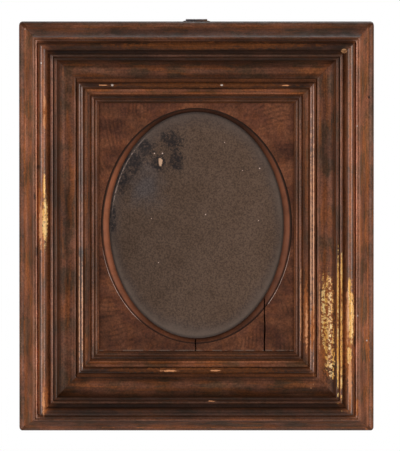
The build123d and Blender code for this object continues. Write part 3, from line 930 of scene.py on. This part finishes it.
def leaf_strokes(web, oval):
    """Faint leaf strokes cut into the corners of the panel, as a shade about one."""
    turn = web.maths("ARCTAN2", oval["Up"], oval["Across"])
    bent = web.total(web.product(turn, STROKES_ROUND), web.product(oval["Radius"], STROKES_OUT))
    strokes = web.maths("SINE", web.total(bent, web.product(web.grain(STROKE_WANDER), STROKE_SWAY)))
    leaves = web.span(web.grain(LEAVES), 0.42, 0.58)
    corner = web.product(web.span(oval["Radius"], 1.04, 1.1), leaves)
    return web.less(STROKE_GROUND, web.product(web.span(strokes, -0.4, 0.9), corner, STROKE_DARKNESS))


def rim_colour(web, oval, patchy, varnish):
    """Varnish with leaf strokes on the flat; on the oval rim redder, with painted light and shade and a
    painted shadow under the step.
    """
    colours = finish()
    step_y = PANEL_FRONT_Y + RIM_STEP
    sunk = web.span(oval["Depth"], *RIM_DEPTHS)
    across = web.maths("DIVIDE", web.less(oval["Depth"], step_y), PLATE_FRONT_Y - RIM_LIP - step_y)
    flank = web.span(web.maths("ABSOLUTE", oval["Across"]), 0.3, 0.95)
    # The redder rim varnish, laid on more at the flanks, where it is partly painted light
    warm = web.product(sunk, web.span(patchy, 0.3, 0.65, 0.5, 1), web.span(flank, 0, 1, 0.2, 1))
    colour = web.blend(warm, varnish, colours.rim)
    # Painted light and shade on the rim: a lit band across it, darker at the top, a little darker low down
    # and to the right
    lit = web.product(web.span(across, 0, 0.1), web.span(across, 0.3, 0.9, 1, 0.3))
    rim_light = web.product(
        web.span(lit, 0, 1, 0.5, 1.3), web.span(oval["Up"], 0.2, 0.95, 1, 0.26),
        web.span(oval["Up"], -0.9, 0, 0.62, 1), web.span(oval["Across"], -0.2, 0.5, 1, 0.66))
    colour = web.blend(sunk, web.shade(colour, leaf_strokes(web, oval)), web.shade(colour, rim_light))
    # Painted shadow under the step, strongest on the upper half
    upper = web.span(oval["Up"], -0.6, 0.5)
    step_shadow = web.product(sunk, web.fall(across, 0, 0.12), web.span(upper, 0, 0.6, 0.25, 0.9))
    return web.blend(step_shadow, colour, colours.hole_and_step_shadow)


def arris_highlight(web, oval, patchy):
    """Painted highlight along the arris of the oval, low on both sides."""
    left_run = web.fall(oval["Across"], -0.68, -0.56)
    right_run = web.span(oval["Across"], 0.74, 0.76)
    return web.product(
        web.span(oval["Radius"], 0.998, 1), web.fall(oval["Radius"], 1.001, 1.003),
        web.fall(oval["Up"], -0.3, -0.16), web.maths("MAXIMUM", left_run, right_run),
        web.span(patchy, 0.3, 0.6, 0.4, 0.9))


def panel_material():
    """Varnished spandrel panel with its redder rim, a painted highlight along the oval's arris and dust along
    its foot.
    """
    colours = finish()
    material, web, shader = new_material("spandrel varnish", 0.15)
    oval = web.group(oval_place_group(), {"Half": (OVAL_HALF_WIDTH, 1, OVAL_HALF_HEIGHT)})
    parts = web.split(web.place())
    # Painted shade: the panel is made darker towards the bottom
    panel_shade_span = (MIDDLE_Z - SIGHT_HALF_HEIGHT, MIDDLE_Z + 0.5 * SIGHT_HALF_HEIGHT)
    made = web.group(old_finish_group(), {
        **finish_colours(), "toned": colours.panel, "umber": colours.panel_dark,
        "Flow": web.scaled(web.joined(parts["Z"], parts["X"], parts["Y"]), (4, 0.5, 0.5)),
        "Painted light": web.span(parts["Z"], *panel_shade_span, 0.8, 0.9), "Drips": 0.25, "Streaks": 0.3})
    patchy = web.grain(PATCHES)
    dusty = web.product(web.span(parts["Z"], *PANEL_FOOT, 0.6, 0), web.span(patchy, 0.4, 0.55))
    colour = web.layers(
        rim_colour(web, oval, patchy, made["Colour"]),
        (arris_highlight(web, oval, patchy), colours.pale_dust_and_highlight),
        (dusty, colours.dust))
    wire_surface(web, shader, colour, made, PANEL_BUMP, 0.4, False)
    return material


def plate_material():
    """Old looking-glass plate, its silvering darkened and corroded, dusty and with a painted sheen towards
    the rim.
    """
    colours = finish()
    material, web, shader = new_material("old plate", 0.2)
    oval = web.group(oval_place_group(), {"Half": (PLATE_HALF_WIDTH, 1, PLATE_HALF_HEIGHT)})
    drift = web.grain(PLATE_DRIFT)
    mottle = web.grain(PLATE_MOTTLE)
    shade = web.product(
        web.span(web.grain(PLATE_SPECKLE), 0.33, 0.67, 0.62, 1.38), web.span(drift, 0.3, 0.7, 0.93, 1.07),
        web.span(oval["Across"], -0.9, 0.8, 0.98, 1.3))
    silver = web.blend(web.product(losses(web, "haze clouds"), 0.75), colours.plate, colours.haze)
    reach = web.total(oval["Radius"], web.product(drift, 0.14))
    low_side = web.span(web.total(oval["Up"], web.product(oval["Across"], -0.35)), -0.1, 0.5, 1, 0.35)
    eaten = web.total(web.product(losses(web, "corrosion clouds"), 0.5), web.product(mottle, 1.9))
    # Painted highlight: a thin light line along the upper left of the plate's edge
    edge_glint = web.product(
        web.span(oval["Radius"], 0.962, 0.969), web.fall(oval["Radius"], 0.973, 0.98),
        web.span(oval["Across"], -0.8, -0.45, 0.45, 0), web.span(oval["Up"], 0, 0.3),
        web.span(mottle, 0.4, 0.6))
    web.feed(shader.inputs["Base Color"], web.layers(
        web.shade(silver, shade),
        # Painted sheen: the plate lighter in a haze towards the rim
        (web.span(reach, 0.9, 1.04, 0, 0.35), colours.haze),
        (web.product(web.span(reach, 0.98, 1.05), low_side, 0.55), colours.dust),
        (web.span(eaten, 1.2, 1.48, 0, 0.85), colours.corrosion),
        (web.product(losses(web, "loss outline"), 0.8), colours.corrosion),
        (losses(web, "silver loss"), colours.silver_loss),
        (losses(web, "dust specks"), colours.pale_dust_and_highlight),
        (edge_glint, colours.pale_dust_and_highlight),
        # Darker towards the very edge of the plate
        (web.span(oval["Radius"], 0.97, 0.995, 0, 0.5), colours.corrosion)))
    web.feed(shader.inputs["Roughness"], web.span(drift, 0.3, 0.7, 0.3, 0.45))
    return material


# Pieces

SIDES = ("top", "bottom", "left", "right")


def dress(node_name, material):
    """Gives a part that keeps its own shape its material."""
    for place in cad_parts[node_name].material_slots:
        place.material = material


def worn_side(side, kind, material):
    """Dressed copy of one side's moulding: worn arrises, a slow waver and fine pits."""
    node_name = f"{side}_{kind}"
    piece = merged_copy(node_name, node_name + "_worn")
    axis = 0 if side in ("top", "bottom") else 2
    if kind == "liner":
        set_in(piece)
    mark_arrises(piece, axis)
    apply_modifier(
        piece, "BEVEL", width=sizes().arris, segments=3, limit_method="WEIGHT", use_clamp_overlap=False)
    cut_along(piece, axis, sizes().run_cuts)
    waver(piece)
    settle(piece, "frame", material)
    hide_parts(node_name)


class OVALFRAME_OT_base_frame(bpy.types.Operator):
    """Dresses the four members of the base frame"""
    bl_idname = "ovalframe.base_frame"
    bl_label = "Base frame"

    def execute(self, context):
        along_x = base_material("base wood rails", RAIL_GRAIN)
        along_z = base_material("base wood stiles", STILE_GRAIN)
        for node_name, material in (
                ("base_top_rail", along_x), ("base_bottom_rail", along_x),
                ("base_left_stile", along_z), ("base_right_stile", along_z)):
            piece = merged_copy(node_name, node_name + "_toned")
            settle(piece, "frame", material)
            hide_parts(node_name)
        return {"FINISHED"}


class OVALFRAME_OT_mouldings(bpy.types.Operator):
    """Dresses the four main mouldings"""
    bl_idname = "ovalframe.mouldings"
    bl_label = "Main mouldings"

    def execute(self, context):
        material = moulding_material("toned gilding")
        for side in SIDES:
            worn_side(side, "moulding", material)
        return {"FINISHED"}


class OVALFRAME_OT_liners(bpy.types.Operator):
    """Dresses the four liner mouldings"""
    bl_idname = "ovalframe.liners"
    bl_label = "Liner mouldings"

    def execute(self, context):
        material = moulding_material("toned liner")
        for side in SIDES:
            worn_side(side, "liner", material)
        return {"FINISHED"}


class OVALFRAME_OT_spandrel(bpy.types.Operator):
    """Makes the spandrel panel with its oval rim and its cracks"""
    bl_idname = "ovalframe.spandrel"
    bl_label = "Spandrel panel"

    def execute(self, context):
        panel = block("spandrel_panel_rimmed", PANEL_LOW, PANEL_HIGH)
        cut_away(panel, self.oval_opening())
        for across, top, bottom in CRACKS:
            cut_away(panel, self.crack(across, top, bottom))
        settle(panel, "frame", panel_material())
        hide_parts("spandrel_panel")
        return {"FINISHED"}

    def rings(self):
        """Rings of the opening from the plate outwards: front face, half width and half height."""
        lip_y = PLATE_FRONT_Y - RIM_LIP
        step_y = PANEL_FRONT_Y + RIM_STEP
        rings = [(PLATE_FRONT_Y + OVERRUN, PLATE_HALF_WIDTH, PLATE_HALF_HEIGHT)]
        for index in range(RIM_RINGS + 1):
            across = 1 - index / RIM_RINGS
            rings.append((
                step_y + (lip_y - step_y) * across ** RIM_SWELL_POWER,
                OVAL_HALF_WIDTH - RIM_SIDE_WIDTH * across, OVAL_HALF_HEIGHT - RIM_END_WIDTH * across))
        return rings + [(PANEL_FRONT_Y - OVERRUN, OVAL_HALF_WIDTH, OVAL_HALF_HEIGHT)]

    def oval_opening(self):
        """Body of the opening: a plain lip, the swelling rim and the small step."""
        rings = self.rings()
        last_y, last_width, last_height = rings[0]
        bpy.ops.object.select_all(action="DESELECT")
        bpy.ops.mesh.primitive_circle_add(
            vertices=RIM_SIDES, radius=1, fill_type="NGON", rotation=(math.pi / 2, 0, 0),
            location=(0, last_y, OVAL_Z))
        opening = bpy.context.active_object
        bpy.ops.transform.resize(value=(last_width, 1, last_height))
        place_in_mesh(opening)
        edit(opening)
        bpy.ops.mesh.select_all(action="SELECT")
        for ring_y, width, height in rings[1:]:
            bpy.ops.mesh.extrude_region_move(TRANSFORM_OT_translate={"value": (0, ring_y - last_y, 0)})
            bpy.ops.transform.resize(
                value=(width / last_width, 1, height / last_height), center_override=(0, ring_y, OVAL_Z))
            last_y, last_width, last_height = ring_y, width, height
        bpy.ops.mesh.select_all(action="SELECT")
        bpy.ops.mesh.normals_make_consistent(inside=False)
        leave_edit()
        return opening

    def crack(self, across, top, bottom):
        """Thin wandering wedge for one crack, open to the front."""
        high = photo_place(across, top, PANEL_FRONT_Y)
        low = photo_place(across, bottom, PANEL_FRONT_Y)
        half = Vector((sizes().crack / 2, 0, 0))
        wedge = block(
            "crack", low - half - Vector((0, OVERRUN, 0)), high + half + Vector((0, CRACK_DEPTH, 0)))
        cut_along(wedge, 2, CRACK_BENDS)
        apply_modifier(
            wedge, "DISPLACE", texture=cloud_texture("crack waver", CRACK_RUN), texture_coords="LOCAL",
            direction="X", mid_level=0.5, strength=sizes().crack_waver)
        return wedge


class OVALFRAME_OT_plate(bpy.types.Operator):
    """Finishes the old plate, the backing board and the pegs"""
    bl_idname = "ovalframe.plate"
    bl_label = "Plate and backing board"

    def execute(self, context):
        colours = finish()
        dress("mirror_plate", plate_material())
        board_wood = wood_material("board wood", BOARD_GRAIN, colours.bare_wood, colours.dark_wood)
        dress("backing_board", board_wood)
        dress("corner_pegs", wood_material("peg wood", PEG_GRAIN, colours.dark_wood, colours.grime_and_shade))
        return {"FINISHED"}


class OVALFRAME_OT_fittings(bpy.types.Operator):
    """Finishes the iron fittings"""
    bl_idname = "ovalframe.fittings"
    bl_label = "Iron fittings"

    def execute(self, context):
        iron = iron_material("aged iron")
        for node_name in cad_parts:
            if node_name.startswith(("turn_button", "hanger", "moulding_nails", "liner_brads")):
                dress(node_name, iron)
        return {"FINISHED"}


def soft_box(name, azimuth, elevation, distance, width, height, radiance):
    """Rectangular lamp that faces the middle of the frame."""
    lamp = bpy.data.lights.new(name, "AREA")
    lamp.shape = "RECTANGLE"
    lamp.size = width
    lamp.size_y = height
    lamp.energy = radiance * width * height * math.pi
    lit = bpy.data.objects.new(name, lamp)
    bpy.context.scene.collection.objects.link(lit)
    turn, tilt = math.radians(azimuth), math.radians(elevation)
    heading = Vector((
        math.sin(turn) * math.cos(tilt), -math.cos(turn) * math.cos(tilt), math.sin(tilt)))
    lit.location = Vector((0, BACK_Y, MIDDLE_Z)) + heading * distance
    lit.rotation_euler = heading.to_track_quat("Z", "Y").to_euler()
    lit.visible_camera = False


class OVALFRAME_OT_stage(bpy.types.Operator):
    """Sets up the floor, the lamps, the white surround and the camera"""
    bl_idname = "ovalframe.stage"
    bl_label = "Stage"

    def execute(self, context):
        scene = context.scene
        scene.view_settings.view_transform = "Standard"
        self.surround(scene)
        self.floor()
        for name, settings in SOFT_BOXES.items():
            soft_box(name, *settings)
        self.camera(scene)
        return {"FINISHED"}

    def surround(self, scene):
        """White to the eye; to gloss and matt surfaces a white wall behind and a dim room in front."""
        world = bpy.data.worlds.new("white surround")
        scene.world = world
        world.use_nodes = True
        world.node_tree.nodes.clear()
        web = NodeWeb(world.node_tree)
        path = web.add("LightPath").outputs
        heading = web.split(web.add("TexCoord").outputs["Generated"])
        behind = web.span(heading["Y"], -0.05, 0.3)
        upward = web.span(heading["Z"], -0.6, 0.3, 0.4, 1)
        matt, gloss = (
            web.total(web.product(behind, upward, wall), room) for wall, room in zip(WALL_LIGHT, ROOM_LIGHT))
        light = web.mix(path["Is Glossy Ray"], matt, gloss)
        seen = web.maths("ADD", path["Is Camera Ray"], path["Is Transmission Ray"], clamp=True)
        sky = web.add("Background", {"Color": WHITE, "Strength": web.maths("MAXIMUM", seen, light)})
        web.feed(web.add("OutputWorld").inputs["Surface"], sky.outputs[0])

    def floor(self):
        """Pale floor far below the frame, white to the eye."""
        bpy.ops.object.select_all(action="DESELECT")
        bpy.ops.mesh.primitive_circle_add(
            vertices=FLOOR_SIDES, radius=FLOOR_RADIUS, fill_type="NGON",
            location=(0, 0, BOTTOM_Z - FLOOR_DROP))
        floor = bpy.context.active_object
        floor.name = "pale_floor"
        material, web, shader = new_material("pale floor", 0.2)
        shader.inputs["Base Color"].default_value = PALE
        shader.inputs["Roughness"].default_value = 0.8
        path = web.add("LightPath").outputs
        glow = web.add("Emission", {"Color": WHITE, "Strength": 1})
        seen = web.maths("ADD", path["Is Camera Ray"], path["Is Glossy Ray"], clamp=True)
        both = web.add("MixShader", {"Fac": web.product(seen, 0.8)})
        web.feed(both.inputs[1], shader.outputs[0])
        web.feed(both.inputs[2], glow.outputs[0])
        for node in material.node_tree.nodes:
            if node.type == "OUTPUT_MATERIAL":
                web.feed(node.inputs["Surface"], both.outputs[0])
        floor.data.materials.append(material)

    def camera(self, scene):
        """Camera where the photograph was taken from, a little above the frame."""
        lens = bpy.data.cameras.new("view")
        eye = bpy.data.objects.new("view", lens)
        scene.collection.objects.link(eye)
        lens.sensor_width = SENSOR
        lens.lens = SENSOR * VIEW_DISTANCE / (IMAGE_HEIGHT * PIXEL)
        lens.clip_end = VIEW_END
        aim = photo_place(IMAGE_WIDTH / 2, IMAGE_HEIGHT / 2, 0)
        heading = Vector((0, -math.cos(VIEW_ELEVATION), math.sin(VIEW_ELEVATION)))
        eye.location = aim + heading * VIEW_DISTANCE
        eye.rotation_euler = heading.to_track_quat("Z", "Y").to_euler()
        scene.camera = eye


class OVALFRAME_PT_pieces(bpy.types.Panel):
    """Lists the pieces of the frame"""
    bl_idname = "OVALFRAME_PT_pieces"
    bl_label = "Oval frame"
    bl_space_type = "VIEW_3D"
    bl_region_type = "UI"
    bl_category = "Oval frame"

    def draw(self, context):
        for operator in OPERATORS:
            self.layout.operator(operator.bl_idname)


OPERATORS = (
    OVALFRAME_OT_base_frame, OVALFRAME_OT_mouldings, OVALFRAME_OT_liners, OVALFRAME_OT_spandrel,
    OVALFRAME_OT_plate, OVALFRAME_OT_fittings, OVALFRAME_OT_stage,
)
CLASSES = (OvalFrameFinish, OvalFrameSizes) + OPERATORS + (OVALFRAME_PT_pieces,)


def register():
    for cls in CLASSES:
        bpy.utils.register_class(cls)
    bpy.types.Scene.oval_frame_finish = PointerProperty(type=OvalFrameFinish)
    bpy.types.Scene.oval_frame_sizes = PointerProperty(type=OvalFrameSizes)


def unregister():
    del bpy.types.Scene.oval_frame_sizes
    del bpy.types.Scene.oval_frame_finish
    for cls in reversed(CLASSES):
        bpy.utils.unregister_class(cls)


def main():
    register()
    for piece in OPERATORS:
        getattr(bpy.ops.ovalframe, piece.bl_idname.split(".")[1])()


if __name__ == "__main__":
    main()
